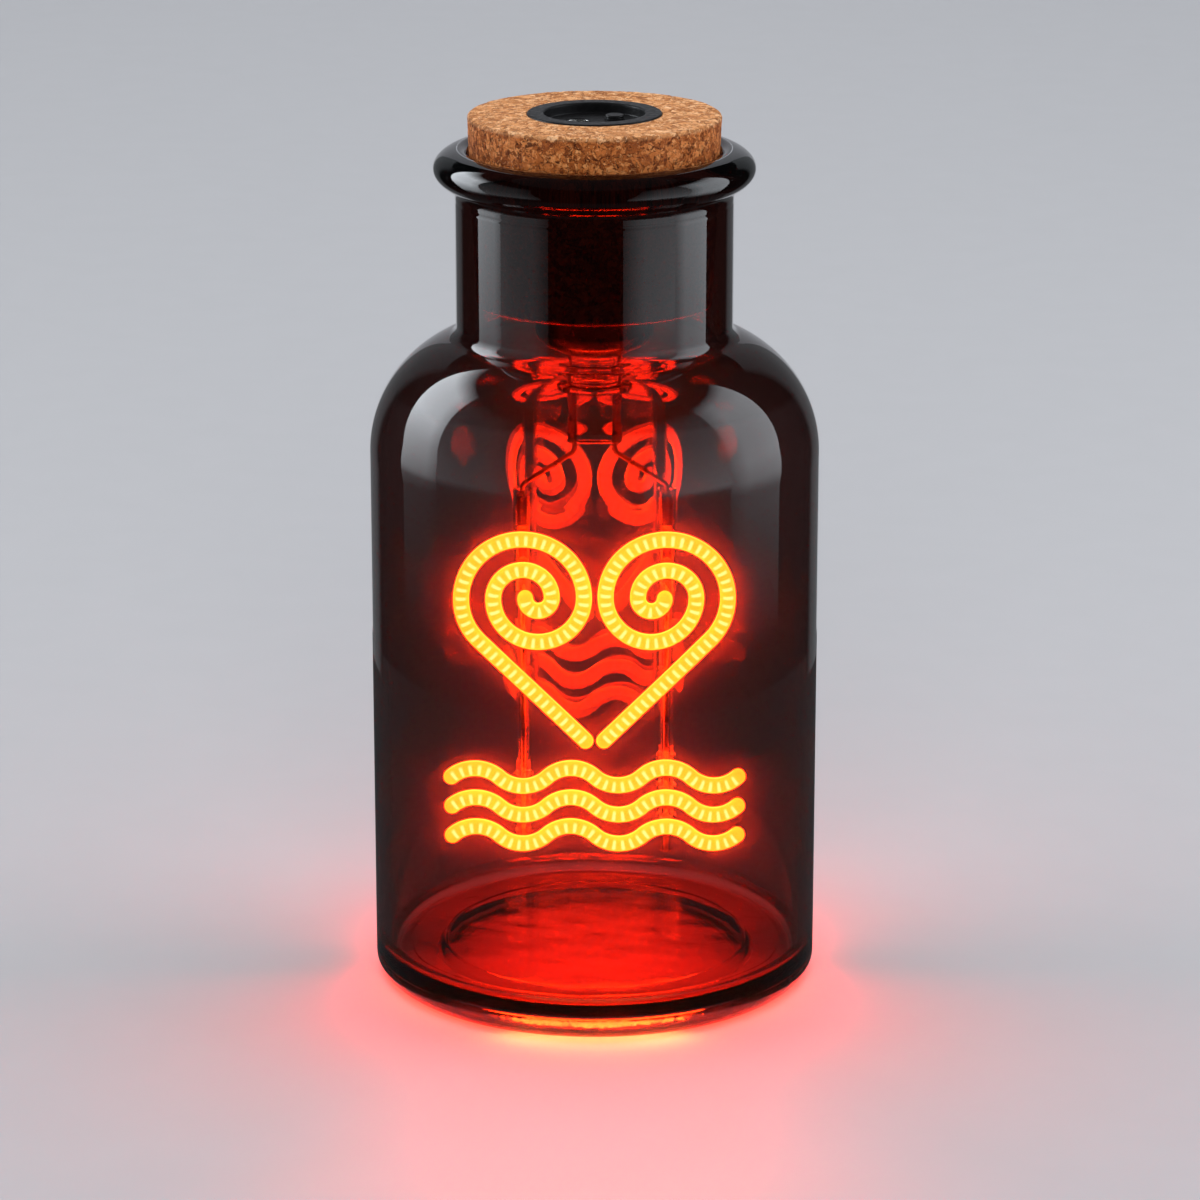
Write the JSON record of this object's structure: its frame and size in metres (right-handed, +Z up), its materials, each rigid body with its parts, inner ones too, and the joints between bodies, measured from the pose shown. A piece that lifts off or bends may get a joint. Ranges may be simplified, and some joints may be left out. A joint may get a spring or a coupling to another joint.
{
  "type": "cork bottle light",
  "caption": "Smoked glass bottle lamp with a cork stopper that carries a push button, a charging socket and a hanging sign of glowing scroll and wave tubes.",
  "frame": {"origin": "centre of the bottle's base, on the surface that it stands on", "axes": "+Z up along the bottle's axis, -Y towards the front of the sign, +X to the right seen from the front"},
  "size_m": [0.1, 0.1, 0.1977],
  "materials": {
    "smoked_glass": "polished dark smoked glass",
    "cork": "pressed cork granules, matt",
    "black_plastic": "satin black moulding",
    "button_plastic": "satin black moulding",
    "switch_plastic": "black moulding",
    "plated_metal": "bright nickel plate",
    "steel": "zinc plated",
    "wire_metal": "drawn wire, slightly dull",
    "clear_plastic": "clear, glossy",
    "clear_glass": "clear, fire polished",
    "ferrule_red": "dark red, glossy",
    "glow_tube": "soft translucent tube, lit",
    "glow_filament": "coated light string, lit",
    "board_green": "solder mask",
    "led_white": "small moulded light",
    "cell_wrap": "shrink wrap",
    "foam_grey": "closed foam",
    "lead_red": "wire insulation",
    "lead_black": "wire insulation"
  },
  "bodies": {
    "bottle": {"glass_bottle": "smoked_glass"},
    "stopper": {"battery_cell": "cell_wrap", "battery_foam": "foam_grey", "battery_lead_negative": "lead_black", "battery_lead_positive": "lead_red", "battery_tab_bottom": "plated_metal", "battery_tab_top": "plated_metal", "board_screws": "steel", "capsule_shell": "black_plastic", "charge_led": "led_white", "charge_light": "clear_plastic", "clear_stem": "clear_glass", "control_board": "board_green", "control_cup": "black_plastic", "cork_stopper": "cork", "driver_chip": "switch_plastic", "feed_pins": "wire_metal", "ferrule_left": "ferrule_red", "ferrule_right": "ferrule_red", "heart_filament_left": "glow_filament", "heart_filament_right": "glow_filament", "heart_tube_left": "glow_tube", "heart_tube_right": "glow_tube", "jack_body": "switch_plastic", "jack_pin": "plated_metal", "jack_sleeve": "plated_metal", "lamp_lead_left": "lead_black", "lamp_lead_right": "lead_red", "rail_collars": "clear_plastic", "rail_tube_left": "clear_plastic", "rail_tube_right": "clear_plastic", "sleeve_left": "clear_plastic", "sleeve_right": "clear_plastic", "support_wire_left": "wire_metal", "support_wire_right": "wire_metal", "switch_body": "switch_plastic", "tube_end_caps": "glow_tube", "wave_filament_bottom": "glow_filament", "wave_filament_middle": "glow_filament", "wave_filament_top": "glow_filament", "wave_tube_bottom": "glow_tube", "wave_tube_middle": "glow_tube", "wave_tube_top": "glow_tube"},
    "button": {"power_button": "button_plastic", "switch_plunger": "switch_plastic"}
  },
  "joints": [
    {"name": "cork_lift", "type": "slide", "parent": "bottle", "child": "stopper", "axis": [0, 0, 1], "range_m": [0, 0.044]},
    {"name": "button_press", "type": "slide", "parent": "stopper", "child": "button", "axis": [0, 0, -1], "range_m": [0, 0.0005], "stiffness_N_per_m": 800}
  ]
}
